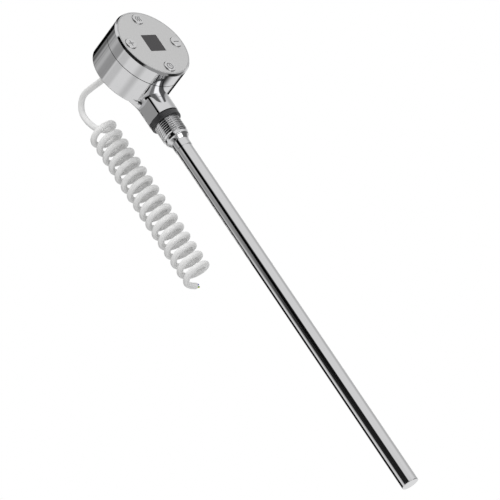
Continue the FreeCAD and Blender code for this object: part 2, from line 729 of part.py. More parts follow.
def coil_heading(turns):
    angle = coil_angle(turns)
    slope = COIL_PITCH / (2 * math.pi * COIL_RADIUS)
    return Vector(math.sin(angle), -math.cos(angle), -slope).normalize()


def arc_edge(start, heading, end):
    """An arc that leaves start along heading and passes through end, with its radius."""
    chord = end - start
    along = Vector(chord).normalize()
    sideways = (heading - along * heading.dot(along)).normalize()
    half_turn = heading.getAngle(along)
    radius = chord.Length / (2 * math.sin(half_turn))
    middle = (start + end) * 0.5 + sideways * (radius * (1 - math.cos(half_turn)))
    return Part.Arc(start, middle, end).toShape(), radius


def biarc_edges(start, heading, end, end_heading):
    """Two arcs that join two places with the given headings."""
    across = end - start
    total = heading + end_heading
    square = 2 * (1 - heading.dot(end_heading))
    linear = 2 * across.dot(total)
    reach = (-linear + math.sqrt(linear ** 2 + 4 * square * across.dot(across))) / (2 * square)
    middle = (start + end + (heading - end_heading) * reach) * 0.5
    middle_heading = (middle - (start + heading * reach)).normalize()
    first, first_radius = arc_edge(start, heading, middle)
    second, second_radius = arc_edge(middle, middle_heading, end)
    return [first, second], [first_radius, second_radius]


def coil_route():
    """A straight end, the bend into the helix, the turns and a straight end."""
    straight = 2 * CORD_RADIUS
    start = LEAD_POINTS[-1]
    heading = (LEAD_POINTS[-1] - LEAD_POINTS[-2]).normalize()
    knots = [(start + heading * straight, heading)]
    steps = math.ceil(COIL_TURNS * KNOTS_PER_TURN)
    for step in range(steps + 1):
        turns = COIL_TURNS * step / steps
        knots.append((coil_point(turns), coil_heading(turns)))
    edges = [Part.LineSegment(start, knots[0][0]).toShape()]
    radii = []
    for (here, here_heading), (there, there_heading) in zip(knots, knots[1:]):
        pair, pair_radii = biarc_edges(here, here_heading, there, there_heading)
        edges += pair
        radii += pair_radii
    last, last_heading = knots[-1]
    end = last + last_heading * straight
    edges.append(Part.LineSegment(last, end).toShape())
    return Part.Wire(edges), radii, end, last_heading


def least_gap(route, radius):
    """The least clear distance between the tube and itself, measured on points along its middle."""
    spacing = 1.0
    count = int(route.Length / spacing)
    points = route.discretize(Number=count + 1)
    skip = int(4 * radius / spacing) + 1
    reach = 2 * COIL_PITCH
    nearest = reach
    for index, place in enumerate(points):
        for other in points[index + skip:]:
            if abs(other.z - place.z) < reach:
                nearest = min(nearest, place.distanceToPoint(other))
    return nearest - 2 * radius


def core_places(end, heading):
    """Where the three cores leave the cord's cut end, spaced evenly round its middle."""
    up = (Vector(0, 0, 1) - heading * heading.z).normalize()
    side = heading.cross(up)
    places = []
    for index in range(3):
        angle = math.radians(CORE_FIRST_DEG + 120 * index)
        places.append(end + (up * math.cos(angle) + side * math.sin(angle)) * CORE_RING_RADIUS)
    return places


def cord_parts():
    lead, lead_route, lead_radii = round_tube(LEAD_POINTS, CORD_RADIUS)
    coil_path, coil_radii, end, heading = coil_route()
    coil = tube_along(coil_path, CORD_RADIUS, LEAD_POINTS[-1], LEAD_POINTS[-1] - LEAD_POINTS[-2])
    for name, solid, route in (("lead", lead, lead_route), ("coil", coil, coil_path)):
        ideal = math.pi * CORD_RADIUS ** 2 * route.Length
        print(name, "length", round(route.Length, 1), "volume over section times length",
              round(solid.Volume / ideal, 5))
    print("lead radii", [round(radius, 1) for radius in lead_radii])
    print("coil radii from", round(min(coil_radii), 2), "to", round(max(coil_radii), 2))
    print("coil least gap", round(least_gap(coil_path, CORD_RADIUS), 2))
    parts = {"cord_lead": lead, "cord_coil": coil}
    strands = []
    for name, place in zip(("core_neutral", "core_earth", "core_live"), core_places(end, heading)):
        parts[name] = Part.makeCylinder(CORE_RADIUS, CORE_LENGTH, place, heading)
        tip = place + heading * CORE_LENGTH
        strands.append(Part.makeCylinder(STRAND_RADIUS, STRAND_LENGTH, tip, heading))
    parts["core_strands"] = Part.makeCompound(strands)
    return parts


def all_parts():
    parts = {
        "sheath_tube": sheath_tube(),
        "end_cap": end_cap(),
        "power_pins": power_pins(),
        "sensor_capsule": sensor_capsule(),
        "potting_plug": potting_plug(),
        "threaded_nipple": threaded_nipple(),
        "element_sleeve": element_sleeve(),
        "threaded_bush": threaded_bush(),
        "sealing_gasket": sealing_gasket(),
        "rear_housing": rear_housing(),
        "front_ring": front_ring(),
        "seam_gasket": seam_gasket(),
        "face_plate": face_plate(),
        "display_window": display_window(),
        "display_module": display_module(),
        "tact_switches": tact_switches(),
        "control_board": control_board(),
        "head_screws": head_screws(),
        "power_board": power_board(),
        "relay": tall_component(-1),
        "supply_module": tall_component(1),
        "capacitor": capacitor(),
        "fuse_holder": fuse_holder(),
        "terminal_block": terminal_block(),
        "board_connectors": board_connectors(),
        "ribbon_cable": ribbon_cable(),
        "element_leads": element_leads(),
        "inner_cord": inner_cord(),
        "cord_gland": cord_gland(),
        "gland_nut": gland_nut(),
    }
    parts.update(rod_filling())
    for name, angle in BUTTON_ANGLES.items():
        parts[name] = button(angle)
    parts.update(cord_parts())
    return parts


os.makedirs("parts", exist_ok=True)
for part_name, part_shape in all_parts().items():
    if not part_shape.isValid():
        print("not valid:", part_name)
    part_shape.exportStep("parts/" + part_name + ".step")
    print(part_name, len(part_shape.Solids), round(part_shape.Volume, 1))
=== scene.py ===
# %% [markdown]
# A screw-in immersion heating element: a round thermostat head, a threaded neck, a long rod and a curly
# lead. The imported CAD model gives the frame. This lesson adds the cord, the signs on the buttons, the front
# ring, the thread, the strain relief and every finish. Lengths are in millimetres, and `mm` turns them into
# metres.

import math

import bmesh
import bpy
from mathutils import Matrix, Vector


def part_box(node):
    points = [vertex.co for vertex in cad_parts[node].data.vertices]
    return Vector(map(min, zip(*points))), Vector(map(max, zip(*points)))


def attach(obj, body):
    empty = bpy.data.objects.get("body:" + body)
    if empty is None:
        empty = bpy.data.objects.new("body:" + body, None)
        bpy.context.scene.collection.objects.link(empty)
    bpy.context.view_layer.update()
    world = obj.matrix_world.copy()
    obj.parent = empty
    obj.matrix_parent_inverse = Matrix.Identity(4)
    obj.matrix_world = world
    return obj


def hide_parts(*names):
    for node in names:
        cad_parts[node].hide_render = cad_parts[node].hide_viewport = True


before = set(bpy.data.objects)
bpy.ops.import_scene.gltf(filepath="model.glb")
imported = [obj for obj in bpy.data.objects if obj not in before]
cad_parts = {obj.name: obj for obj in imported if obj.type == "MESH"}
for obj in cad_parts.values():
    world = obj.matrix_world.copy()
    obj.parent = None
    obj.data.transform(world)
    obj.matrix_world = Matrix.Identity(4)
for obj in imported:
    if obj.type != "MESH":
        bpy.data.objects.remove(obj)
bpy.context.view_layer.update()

# %% [markdown]
# Colours are written as sRGB hex values, as a colour picker shows them, and Blender wants linear light, so
# one function converts them.

# %% Lengths and colours
def mm(*values):
    """Millimetres to metres, as a vector where there are three."""
    scaled = [value / 1000 for value in values]
    return Vector(scaled) if len(scaled) == 3 else scaled[0]


def linear_light(value):
    return value / 12.92 if value <= 0.04045 else ((value + 0.055) / 1.055) ** 2.4


def colour(code):
    """An sRGB hex colour as linear red, green, blue and alpha."""
    parts = [int(code[k:k + 2], 16) / 255 for k in (1, 3, 5)]
    return (*[linear_light(part) for part in parts], 1.0)


print("middle grey in linear light", round(colour("#808080")[0], 3))

# %% [markdown]
# A finish is a Principled shader with a few constants on its own sockets, and nodes that feed the sockets
# where the surface varies. One function adds any node, and another plugs the results into the shader.

# %% Nodes and materials
def add_node(tree, kind, settings=None, values=None, links=None):
    """One shader node with its own settings, its sockets' values, and what feeds its sockets."""
    node = tree.nodes.new(kind)
    for name, value in (settings or {}).items():
        setattr(node, name, value)
    for socket, value in (values or {}).items():
        node.inputs[socket].default_value = value
    for socket, source in (links or {}).items():
        tree.links.new(source, node.inputs[socket])
    return node


def start_material(name, constants):
    """A material whose shader has these constants on its own sockets."""
    material = bpy.data.materials.new(name)
    material.use_nodes = True
    shader = material.node_tree.nodes["Principled BSDF"]
    for socket, value in constants.items():
        shader.inputs[socket].default_value = value
    return material, material.node_tree, shader


def feed(node, sources):
    """Link what feeds these sockets of a shader or an output that is already there."""
    for socket, source in sources.items():
        node.id_data.links.new(source, node.inputs[socket])


# %% [markdown]
# A finished mesh keeps its place in its own points and its object stays at the origin, so that patterns in
# object coordinates stay where they are. A profile that is spun all the way round has its last points merged
# with its first ones, and the merged shell has its normals recalculated, because a spin can turn it inside
# out.

# %% Pieces
# Points closer than this, in metres, become one.
WELD = 1e-6


def add_object(name, data):
    """An object at the origin that shows this mesh, curve, lamp or camera."""
    holder = bpy.data.objects.new(name, data)
    bpy.context.scene.collection.objects.link(holder)
    return holder


def edges_at(verts):
    """The edges that meet these points, each once and in the same order in every run."""
    return list(dict.fromkeys(edge for vert in verts for edge in vert.link_edges))


def spin_profile(made, places, centre, axis, steps):
    """Turn a closed outline all the way round an axis."""
    corners = [made.verts.new(place) for place in places]
    outline = [made.edges.new(pair) for pair in zip(corners, corners[1:] + corners[:1])]
    bmesh.ops.spin(made, geom=corners + outline, cent=centre, axis=axis, dvec=(0, 0, 0), angle=2 * math.pi,
                   steps=steps, use_merge=True, use_duplicate=False)
    bmesh.ops.remove_doubles(made, verts=made.verts, dist=WELD)


def finish_piece(made, name, material, body, smooth_below):
    """Turn a bmesh into an object that rides on a body. Edges sharper than the angle stay sharp."""
    mesh = bpy.data.meshes.new(name)
    bmesh.ops.recalc_face_normals(made, faces=made.faces)
    made.to_mesh(mesh)
    made.free()
    mesh.shade_smooth()
    mesh.set_sharp_from_angle(angle=math.radians(smooth_below))
    mesh.materials.append(material)
    print(name, len(mesh.polygons), "faces")
    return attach(add_object(name, mesh), body)


# %% [markdown]
# The camera looks at the object from below and from its left, through a long lens of 190 mm, as the
# photograph does. Its place and its three directions were found by matching the head's circles, the thread
# and the tip of the rod.

# %% Camera
CAMERA_PLACE = mm(-1436.40, -1091.96, -878.02)
CAMERA_RIGHT = Vector((0.67376127, -0.52917183, -0.51577411))
CAMERA_DOWN = Vector((-0.08436472, 0.63833429, -0.76512217))
CAMERA_AHEAD = Vector((0.73411739, 0.55902282, 0.38544149))
LENS = 190.04
SENSOR_WIDTH = 36.0

camera_data = bpy.data.cameras.new("camera")
camera_data.lens = LENS
camera_data.sensor_width = SENSOR_WIDTH
camera = add_object("camera", camera_data)
axes = Matrix((CAMERA_RIGHT, -CAMERA_DOWN, -CAMERA_AHEAD)).transposed()
camera.matrix_world = Matrix.Translation(CAMERA_PLACE) @ axes.to_4x4()
bpy.context.scene.camera = camera
print("camera", [round(v, 3) for v in camera.location])

# %% [markdown]
# The lead is light grey flexible PVC, 5 mm thick. It leaves the tapered relief in the head's back, arches
# over and drops into a curly stretch of almost sixteen turns. Its route has the same points as the
# CAD route.

# %% Route of the lead
CORD_DIAMETER = 5.0
CORD_LENGTH = 1100.0
GLAND_TIP = (0.0, 20.9, 70.5)
LEAD_ROUTE = [
    GLAND_TIP,
    (0.2, 27.9, 70.5),
    (2.2, 37.2, 74.1),
    (3.4, 46.6, 77.3),
    (4.6, 56.3, 79.9),
    (5.3, 64.2, 76.7),
    (5.3, 68.3, 70.3),
    (5.3, 68.0, 62.8),
    (5.3, 66.9, 58.3),
    (5.75, 65.4, 52.8),
]
cord_points = [mm(*place) for place in LEAD_ROUTE]
print("lead points", len(cord_points))

# %% [markdown]
# The coil is a right-handed helix, worked out in turns down from where the lead joins it. A quadratic curve
# cuts inside the corners of a ring of points, so the points of the helix stand a little further out than the
# line they make. A short straight stub ends the cord.

# %% Route of the coil
COIL_CENTRE_Y = 56.7
COIL_RADIUS = 10.1
COIL_PITCH = 9.45
COIL_JOIN_DEGREES = 14.5
COIL_JOIN_Z = 44.24
COIL_TURNS = 15.78
POINTS_PER_TURN = 14
CORD_STUB = 5.0


def coil_angle(turns):
    return math.radians(COIL_JOIN_DEGREES) - 2 * math.pi * turns


def coil_point(turns, radius):
    angle = coil_angle(turns)
    height = COIL_JOIN_Z - COIL_PITCH * turns
    return mm(radius * math.cos(angle), COIL_CENTRE_Y + radius * math.sin(angle), height)


def coil_heading(turns):
    angle = coil_angle(turns)
    slope = COIL_PITCH / (2 * math.pi * COIL_RADIUS)
    return Vector((math.sin(angle), -math.cos(angle), -slope)).normalized()


point_radius = COIL_RADIUS / (0.75 + 0.25 * math.cos(2 * math.pi / POINTS_PER_TURN))
coil_steps = round(COIL_TURNS * POINTS_PER_TURN)
for step in range(coil_steps + 1):
    cord_points.append(coil_point(COIL_TURNS * step / coil_steps, point_radius))
cord_heading = coil_heading(COIL_TURNS)
cord_end = coil_point(COIL_TURNS, COIL_RADIUS) + cord_heading * mm(CORD_STUB)
cord_points.append(cord_end - cord_heading * mm(CORD_STUB / 4))
cord_points.append(cord_end)
print("cord points", len(cord_points), "end in mm", [round(v * 1000, 2) for v in cord_end])

# %% [markdown]
# Flexible PVC for a lead is extruded, so fine lines run along it, and the surface is a soft satin. The
# curve's own UV map runs along the cord in U and around it in V, so a noise that is long in U makes those
# lines. They are 0.39 mm apart around the cord and run on for about 18 mm, and the tint drifts over about 11
# mm.

# %% Finish of the cord
LINE_SPACING = 0.39
LINE_LENGTH = 18.3
TINT_DRIFT = 100 / 9
LINE_HEIGHT = 0.1
lines_along = round(CORD_LENGTH / LINE_LENGTH)
lines_around = round(math.pi * CORD_DIAMETER / LINE_SPACING)

cord_pvc, tree, shader = start_material("light_grey_pvc",
                                        {"Roughness": 0.38, "IOR": 1.53, "Sheen Weight": 0.05})
uv = add_node(tree, "ShaderNodeTexCoord").outputs["UV"]
drawn_out = add_node(tree, "ShaderNodeMapping", values={"Scale": (lines_along, lines_around, 1)},
                     links={"Vector": uv})
lines = add_node(tree, "ShaderNodeTexNoise", values={"Scale": 1.0, "Detail": 3.0},
                 links={"Vector": drawn_out.outputs[0]})
place = add_node(tree, "ShaderNodeTexCoord").outputs["Object"]
patches = add_node(tree, "ShaderNodeTexNoise", values={"Scale": 1 / mm(TINT_DRIFT), "Detail": 2.0},
                   links={"Vector": place})
tint = add_node(tree, "ShaderNodeMix", {"data_type": "RGBA"},
                {6: colour("#d7d7d7"), 7: colour("#e2e2e1")}, {0: patches.outputs[0]})
bump = add_node(tree, "ShaderNodeBump", values={"Strength": 0.12, "Distance": mm(LINE_HEIGHT)},
                links={"Height": lines.outputs[0]})
feed(shader, {"Base Color": tint.outputs[2], "Normal": bump.outputs[0]})
print("lines along and around the cord", lines_along, lines_around)

# %% [markdown]
# A NURBS curve of order 3 over all these points is one smooth line, and its round bevel is the cord. It
# stands for the CAD solids of the lead and the coil.

# %% Cord
cord_curve = bpy.data.curves.new("curly_cord", "CURVE")
cord_curve.dimensions = "3D"
cord_curve.bevel_depth = mm(CORD_DIAMETER / 2)
cord_curve.bevel_resolution = 8
cord_curve.use_fill_caps = True
spline = cord_curve.splines.new("NURBS")
spline.points.add(len(cord_points) - 1)
for point, where in zip(spline.points, cord_points):
    point.co = (*where, 1.0)
spline.order_u = 3
spline.use_endpoint_u = True
spline.resolution_u = 5
cord_curve.materials.append(cord_pvc)
cord = add_object("curly_cord", cord_curve)
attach(cord, "heater")
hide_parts("cord_lead", "cord_coil")
print("cord length in mm", round(spline.calc_length() * 1000))

# %% [markdown]
# The surroundings are a white studio. Chrome has hardly a look of its own, so photographers stand black and
# grey cards and a softbox around it, and these give the rod and the head their dark bands and thin dark
# outlines. Here each card is a soft-edged patch of the world, given by where its middle stands and how far
# it reaches. Azimuth 0 is in front of the face, and 90 is on the right.

# %% Cards around the object
CARDS = [
    # name, azimuth, half width, soft edge, elevation, half height, soft edge, all in degrees, and brightness
    ("black_card_left", -81, 36, 7, -13, 37, 7, 0.02),
    ("black_card_upper_left", -69, 17, 7, 37, 18, 6, 0.00),
    ("grey_card_back_left", -127, 29, 34, 43, 20, 4, 0.44),
    ("pale_card_back_left", -136, 19, 13, 5, 10, 9, 0.78),
    ("black_card_back", -177, 25, 6, 19, 34, 21, 0.00),
    ("black_card_above_back", 143, 23, 7, 52, 14, 6, 0.00),
    ("grey_card_above_back", 179, 15, 19, 46, 16, 6, 0.18),
    ("black_card_behind", 124, 8, 6, 15, 17, 13, 0.00),
    ("black_card_overhead", 63, 70, 40, 70, 26, 6, 0.01),
    ("grey_card_below", 48, 53, 15, -34, 29, 8, 0.20),
    ("pale_card_right", 76, 27, 39, 21, 23, 29, 0.66),
    ("softbox_below", 0, 24, 12, -40, 14, 9, 2.49),
    ("black_card_below_right", 108, 43, 28, -54, 19, 20, 0.03),
    ("grey_card_low_left", -117, 19, 22, -44, 8, 21, 0.43),
    ("grey_card_front_left", -24, 22, 8, -4, 18, 8, 0.26),
    ("grey_card_under_left", -49, 21, 10, -60, 14, 10, 0.41),
    ("grey_strip_back_left", -122, 6, 6, 37, 20, 5, 0.41),
    ("pale_strip_back_left", -139, 5, 6, 42, 19, 4, 0.63),
    ("grey_card_high_front", 17, 13, 8, 49, 14, 8, 0.49),
    ("grey_card_floor", 20, 60, 10, -76, 14, 6, 0.41),
    ("pale_card_high_front", -17, 14, 8, 42, 12, 8, 0.76),
]
print("cards", len(CARDS))

# %% [markdown]
# A card is found from the direction in which a ray leaves: how far it turns aside from the card's middle
# about the upright axis, and how far it rises above or falls below it. Both are one inside the card's reach
# and fade to nothing over its soft edge, and their product covers the card. Each card is laid over the ones
# before it.

# %% World with its cards
WHITE = (1, 1, 1, 1)

bpy.context.scene.view_settings.view_transform = "Standard"
world = bpy.data.worlds.new("studio")
bpy.context.scene.world = world
world.use_nodes = True
tree = world.node_tree
towards = add_node(tree, "ShaderNodeTexCoord").outputs["Generated"]
lift = add_node(tree, "ShaderNodeSeparateXYZ", links={0: towards}).outputs["Z"]
rise = add_node(tree, "ShaderNodeMath", {"operation": "ARCSINE"}, links={0: lift}).outputs[0]

surroundings = None
for name, azimuth, half_width, side_edge, elevation, half_height, top_edge, brightness in CARDS:
    turned = add_node(tree, "ShaderNodeVectorRotate", {"rotation_type": "Z_AXIS"},
                      {"Angle": math.radians(-azimuth)}, {"Vector": towards})
    flat = add_node(tree, "ShaderNodeSeparateXYZ", links={0: turned.outputs[0]})
    ahead = add_node(tree, "ShaderNodeMath", {"operation": "MULTIPLY"}, {1: -1.0}, {0: flat.outputs["Y"]})
    turn = add_node(tree, "ShaderNodeMath", {"operation": "ARCTAN2"},
                    links={0: flat.outputs["X"], 1: ahead.outputs[0]})
    aside = add_node(tree, "ShaderNodeMath", {"operation": "ABSOLUTE"}, links={0: turn.outputs[0]})
    above = add_node(tree, "ShaderNodeMath", {"operation": "SUBTRACT"},
                     {1: math.radians(elevation)}, {0: rise})
    away = add_node(tree, "ShaderNodeMath", {"operation": "ABSOLUTE"}, links={0: above.outputs[0]})
    cover = add_node(tree, "ShaderNodeMath", {"operation": "MULTIPLY"})
    spans = ((aside, half_width, side_edge), (away, half_height, top_edge))
    for socket, (distance, reach, edge) in enumerate(spans):
        inner, outer = math.radians(reach - edge / 2), math.radians(reach + edge / 2)
        inside = add_node(tree, "ShaderNodeMapRange", {"interpolation_type": "SMOOTHSTEP"},
                          {1: inner, 2: outer, 3: 1.0, 4: 0.0}, {0: distance.outputs[0]})
        feed(cover, {socket: inside.outputs[0]})
    layer = add_node(tree, "ShaderNodeMix", {"data_type": "RGBA", "label": name},
                     {6: WHITE, 7: (brightness, brightness, brightness, 1)}, {0: cover.outputs[0]})
    if surroundings:
        tree.links.new(surroundings, layer.inputs[6])
    surroundings = layer.outputs[2]
print("nodes in the world", len(tree.nodes))

# %% [markdown]
# Three looks of the world are told apart by the kind of ray. The camera and clear things see plain white,
# polished surfaces see white with the cards, and everything else is lit by an even, weaker white, so the
# cards light nothing.

# %% What each kind of ray sees
SOFT_LIGHT = 0.62

rays = add_node(tree, "ShaderNodeLightPath")
through = add_node(tree, "ShaderNodeMath", {"operation": "MAXIMUM"},
                   links={0: rays.outputs["Is Camera Ray"], 1: rays.outputs["Is Transmission Ray"]})
soft_light = add_node(tree, "ShaderNodeBackground", values={"Color": WHITE, "Strength": SOFT_LIGHT})
white = add_node(tree, "ShaderNodeBackground", values={"Color": WHITE, "Strength": 1.0})
carded = add_node(tree, "ShaderNodeBackground", values={"Strength": 1.0}, links={"Color": surroundings})
shiny = add_node(tree, "ShaderNodeMixShader",
                 links={0: rays.outputs["Is Glossy Ray"], 1: soft_light.outputs[0], 2: carded.outputs[0]})
seen = add_node(tree, "ShaderNodeMixShader",
                links={0: through.outputs[0], 1: shiny.outputs[0], 2: white.outputs[0]})
feed(tree.nodes["World Output"], {"Surface": seen.outputs[0]})
print("soft light", SOFT_LIGHT)

# %% [markdown]
# Three large square lamps give the soft studio light: one high in front of the face, one level with it on
# the right, and a fill from the camera's side. The chrome doesn't see them, because it has its cards.

# %% Lamps
STUDIO_CENTRE = mm(0, 0, -120)
LAMPS = [
    # name, azimuth and elevation in degrees, distance and width in metres, power in watts
    ("key_lamp", -20, 48, 1.7, 0.9, 16.0),
    ("side_lamp", 75, 5, 1.9, 1.0, 5.0),
    ("fill_lamp", -50, -12, 1.9, 1.0, 11.0),
]


def in_direction(azimuth, elevation, distance):
    """A place at this distance from the object."""
    turn = math.radians(azimuth)
    rise = math.radians(elevation)
    flat = math.cos(rise) * distance
    return Vector((math.sin(turn) * flat, -math.cos(turn) * flat, math.sin(rise) * distance))


for name, azimuth, elevation, distance, width, power in LAMPS:
    lamp = bpy.data.lights.new(name, "AREA")
    lamp.shape = "SQUARE"
    lamp.size = width
    lamp.energy = power
    offset = in_direction(azimuth, elevation, distance)
    holder = add_object(name, lamp)
    holder.location = STUDIO_CENTRE + offset
    holder.rotation_euler = offset.to_track_quat("Z", "Y").to_euler()
    holder.visible_glossy = False
    print(name, [round(v, 2) for v in holder.location])

# %% [markdown]
# A wide pale floor lies far below the object, for views from above. Its underside is clear, so that it hides
# nothing in views from below, and the chrome doesn't see it.

# %% Floor
FLOOR_Z = -1.7
FLOOR_REACH = 12.0

floor_mesh = bmesh.new()
bmesh.ops.create_grid(floor_mesh, x_segments=1, y_segments=1, size=FLOOR_REACH,
                      matrix=Matrix.Translation((0, 0, FLOOR_Z)))
mesh = bpy.data.meshes.new("floor")
floor_mesh.to_mesh(mesh)
floor_mesh.free()
floor_paint, tree, shader = start_material("pale_floor", {"Base Color": colour("#f4f4f4"), "Roughness": 0.9})
underside = add_node(tree, "ShaderNodeNewGeometry").outputs["Backfacing"]
clear = add_node(tree, "ShaderNodeBsdfTransparent")
either = add_node(tree, "ShaderNodeMixShader",
                  links={0: underside, 1: shader.outputs[0], 2: clear.outputs[0]})
feed(tree.nodes["Material Output"], {"Surface": either.outputs[0]})
mesh.materials.append(floor_paint)
floor = add_object("floor", mesh)
floor.visible_glossy = False
print("floor at", FLOOR_Z, "m")

# %% [markdown]
# Most finishes need the same three touches: a colour that drifts a little, a gloss that drifts with it, and
# a fine relief. The size of the pattern is the real size of the grain, so 0.8 mm stands for moulding texture
# and 8 mm for slow cloudiness. The noise repeats about once per grain.

# %% A finish with a grain
METAL = {"Metallic": 1.0}


def grained(name, constants, dark, light, grain, gloss, relief):
    """Grain and relief in millimetres; gloss is the lowest and the highest roughness."""
    material, tree, shader = start_material(name, constants)
    place = add_node(tree, "ShaderNodeTexCoord").outputs["Object"]
    noise = add_node(tree, "ShaderNodeTexNoise", values={"Scale": 1 / mm(grain), "Detail": 4.0},
                     links={"Vector": place})
    tint = add_node(tree, "ShaderNodeMix", {"data_type": "RGBA"},
                    {6: colour(dark), 7: colour(light)}, {0: noise.outputs[0]})
    rough = add_node(tree, "ShaderNodeMapRange", values={3: gloss[0], 4: gloss[1]},
                     links={0: noise.outputs[0]})
    bump = add_node(tree, "ShaderNodeBump", values={"Strength": 0.3, "Distance": mm(relief)},
                    links={"Height": noise.outputs[0]})
    feed(shader, {"Base Color": tint.outputs[2], "Roughness": rough.outputs[0], "Normal": bump.outputs[0]})
    return material


# %% [markdown]
# Bright chrome plating over polished brass or steel is a mirror. Buffing leaves a slow waviness of a few
# millimetres and a haze that comes and goes, and the eye reads these as real metal.

# %% Chrome
chrome = grained("polished_chrome", METAL, "#cacacb", "#d0d0d1", 6.0, (0.03, 0.08), 0.002)
print(chrome.name)

# %% [markdown]
# The rod is drawn stainless tube, polished and plated. Drawing leaves very fine lines along it, about 0.4 mm
# apart, so its noise is long in Z and short across.

# %% Drawn and polished tube
DRAWN_SPACING = 0.4
DRAWN_LENGTH = 60.0
across, lengthways = 1 / mm(DRAWN_SPACING), 1 / mm(DRAWN_LENGTH)

tube_chrome, tree, shader = start_material("drawn_chrome_tube", METAL)
place = add_node(tree, "ShaderNodeTexCoord").outputs["Object"]
drawn_out = add_node(tree, "ShaderNodeMapping", values={"Scale": (across, across, lengthways)},
                     links={"Vector": place})
lines = add_node(tree, "ShaderNodeTexNoise", values={"Scale": 1.0, "Detail": 3.0},
                 links={"Vector": drawn_out.outputs[0]})
tint = add_node(tree, "ShaderNodeMix", {"data_type": "RGBA"},
                {6: colour("#c6c6c7"), 7: colour("#d3d3d4")}, {0: lines.outputs[0]})
rough = add_node(tree, "ShaderNodeMapRange", values={3: 0.03, 4: 0.1}, links={0: lines.outputs[0]})
feed(shader, {"Base Color": tint.outputs[2], "Roughness": rough.outputs[0]})
print(tube_chrome.name)

# %% [markdown]
# The face plate is pressed aluminium, blasted and anodised to an even satin. It scatters what it reflects,
# with a grain of about 0.3 mm that shows only close up. The buttons are turned, so they are a little
# shinier.

# %% Satin aluminium
satin = grained("satin_anodised_aluminium", METAL, "#d6d6d6", "#dcdcdc", 0.3, (0.3, 0.4), 0.004)
button_metal = grained("turned_button_metal", METAL, "#dadadb", "#e1e1e1", 0.4, (0.16, 0.26), 0.003)
print(satin.name, button_metal.name)

# %% [markdown]
# The small display sits behind smoked acrylic. Its front is glossy and nearly black, and a faint cloudiness
# keeps it from looking like a hole.

# %% Smoked display window
smoked = grained("smoked_acrylic", {"IOR": 1.49}, "#232123", "#2b292b", 8.0, (0.05, 0.09), 0.001)
print(smoked.name)

# %% [markdown]
# The other materials follow as one table. They differ in colour, grain and gloss, and a comment over each
# group says what the way it is made gives the eye.

# %% Rubber, plastics and small metals
RUBBER = {"IOR": 1.52, "Coat Weight": 0.35, "Coat Roughness": 0.3}
PLASTIC = {"IOR": 1.53}
DENSE_PLASTIC = {"IOR": 1.55}
GRAINED = [
    # key, name, constants, dark, light, grain, gloss, relief
    # Moulded rubber and silicone take the mould's grain, and have a soft gloss over it.
    ("rubber", "moulded_black_rubber", RUBBER, "#1d1d1f", "#2b2b2d", 0.9, (0.4, 0.55), 0.03),
    ("silicone", "soft_red_silicone", {"IOR": 1.41}, "#8f1f19", "#a92b22", 0.9, (0.4, 0.55), 0.02),
    # Moulded plastics show the grain of their mould, and a polished mould makes the relay's case glossy.
    ("relief_pvc", "moulded_grey_pvc", PLASTIC, "#c9c9c9", "#d5d5d4", 0.7, (0.36, 0.48), 0.02),
    ("grey_nylon", "glass_filled_grey_nylon", PLASTIC, "#a4a4a4", "#b4b4b3", 0.8, (0.4, 0.55), 0.02),
    ("black_abs", "moulded_black_abs", PLASTIC, "#161617", "#232324", 0.8, (0.34, 0.5), 0.02),
    ("relay_case", "glossy_blue_pbt", DENSE_PLASTIC, "#1d3f8f", "#2850a8", 1.2, (0.14, 0.24), 0.01),
    ("terminal_pa", "moulded_green_polyamide", PLASTIC, "#2c7a3d", "#3b9150", 0.8, (0.36, 0.5), 0.02),
    ("white_pbt", "moulded_white_pbt", DENSE_PLASTIC, "#dddcd4", "#ebeae4", 0.8, (0.3, 0.44), 0.02),
    # Machined, plated and drawn metals have a finer grain and catch the light in small points.
    ("brass", "machined_brass", METAL, "#b58d43", "#d0a95c", 0.5, (0.2, 0.34), 0.004),
    ("zinc_steel", "zinc_plated_steel", METAL, "#aeb0b3", "#c6c8ca", 0.6, (0.22, 0.36), 0.004),
    ("copper", "bare_copper_wire", METAL, "#b8683f", "#d98a5c", 0.2, (0.2, 0.34), 0.003),
    # Pressed powder is unglazed and quite dull, and cast resin is smooth with shallow waves.
    ("magnesia", "pressed_magnesia", {"IOR": 1.6}, "#d8d4ca", "#e8e5dd", 0.5, (0.75, 0.95), 0.05),
    ("resin", "cast_epoxy_resin", DENSE_PLASTIC, "#151516", "#242426", 3.0, (0.12, 0.3), 0.03),
    # The cores' insulation is thin extruded PVC in its code colours, smooth and even.
    ("blue_pvc", "blue_core_pvc", PLASTIC, "#4438a8", "#5546bd", 0.5, (0.3, 0.42), 0.01),
    ("yellow_pvc", "yellow_core_pvc", PLASTIC, "#d3d800", "#e2e81c", 0.5, (0.3, 0.42), 0.01),
    ("green_pvc", "green_core_pvc", PLASTIC, "#3f8f1e", "#55a52c", 0.5, (0.3, 0.42), 0.01),
    ("brown_pvc", "brown_core_pvc", PLASTIC, "#5f3a22", "#74492d", 0.5, (0.3, 0.42), 0.01),
    # The signs are a baked lacquer, dark grey with a fine grain.
    ("lacquer", "dark_grey_lacquer", {"IOR": 1.5}, "#2c2c2e", "#3a3a3c", 0.3, (0.35, 0.5), 0.005),
]
finishes = {}
for key, *recipe in GRAINED:
    finishes[key] = grained(*recipe)
print("finishes", len(finishes))

# %% [markdown]
# A circuit board shows tracks under green solder mask, on the usual grid of 2.54 mm. A brick pattern turned
# upright makes them, because the boards stand parallel to the face.

# %% Circuit board
GRID = 2.54
TRACK_GAP = 0.3
TRACK_HEIGHT = 0.04

